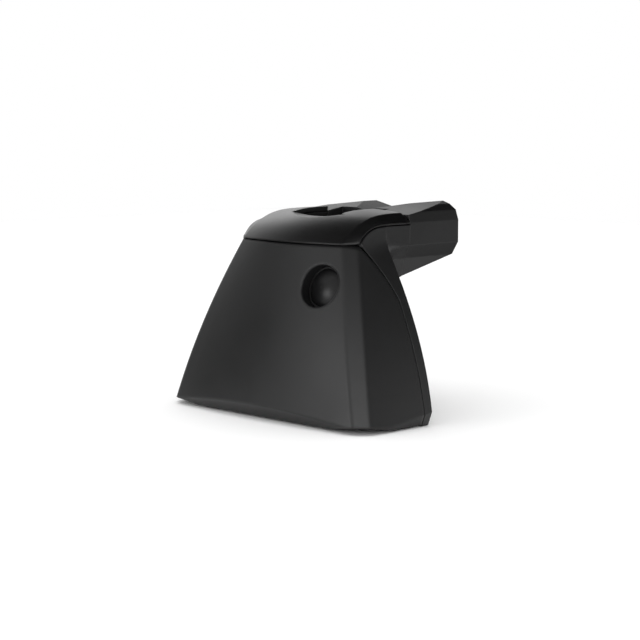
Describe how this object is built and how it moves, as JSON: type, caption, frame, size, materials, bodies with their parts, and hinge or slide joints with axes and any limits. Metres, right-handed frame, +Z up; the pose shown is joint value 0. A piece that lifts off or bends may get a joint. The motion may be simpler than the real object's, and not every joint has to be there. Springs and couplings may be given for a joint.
{
  "type": "roof bar foot",
  "caption": "Black roof rack foot with a swinging lockable front cover, a moulded top cap and an arm that enters the end of a flush cross bar.",
  "frame": {"origin": "on the base face, midway across the foot", "axes": "+X across the foot, to the lock's side; +Y inboard along the arm; +Z up"},
  "size_m": [0.1138, 0.0825, 0.0821],
  "materials": {
    "cast_black": "satin black coat on a casting",
    "cap_plastic": "smooth satin black moulding",
    "cover_plastic": "fine-grained black moulding",
    "bright_steel": "ground",
    "zinc_black": "black zinc casting",
    "lock_face": "smooth black",
    "plated_steel": "zinc plated",
    "bolt_steel": "zinc plated, dull",
    "spring_steel": "oiled spring steel",
    "insert_brass": "turned",
    "carrier_steel": "zinc plated pressing"
  },
  "bodies": {
    "foot": {"foot_body": "cast_black", "top_cap": "cap_plastic", "cap_screw_1": "plated_steel", "cap_screw_2": "plated_steel", "hinge_pin_left": "bright_steel", "hinge_pin_right": "bright_steel", "threaded_insert": "insert_brass", "guide_pin_left": "bright_steel", "guide_pin_right": "bright_steel", "arm_insert_1": "insert_brass", "arm_insert_2": "insert_brass"},
    "cover": {"front_cover": "cover_plastic", "lock_sleeve": "zinc_black", "lock_screw_1": "plated_steel", "lock_screw_2": "plated_steel"},
    "lock": {"lock_plug": "lock_face", "lock_cam": "plated_steel", "cam_nut": "plated_steel"},
    "carrier": {"clip_carrier": "carrier_steel"},
    "bolt": {"tension_bolt": "bolt_steel", "bolt_washer": "plated_steel", "bolt_clip": "spring_steel"}
  },
  "joints": [
    {"name": "cover_swing", "type": "hinge", "parent": "foot", "child": "cover", "pos_m": [0, 0.001, 0.004], "axis": [1, 0, 0], "range_deg": [0, 18]},
    {"name": "lock_turn", "type": "hinge", "parent": "cover", "child": "lock", "pos_m": [0.0229, -0.0043, 0.0525], "axis": [0, 0.9523, -0.3051], "range_deg": [0, 90]},
    {"name": "carrier_slide", "type": "slide", "parent": "foot", "child": "carrier", "axis": [0, 1, 0], "range_m": [0, 0.009]},
    {"name": "bolt_spin", "type": "hinge", "parent": "carrier", "child": "bolt", "pos_m": [0, 0, 0.023], "axis": [0, 1, 0], "range_deg": [0, 2593]}
  ],
  "couplings": [
    {"joint": "bolt_spin", "follows": "carrier_slide", "rad_per_m": 5026.5}
  ]
}
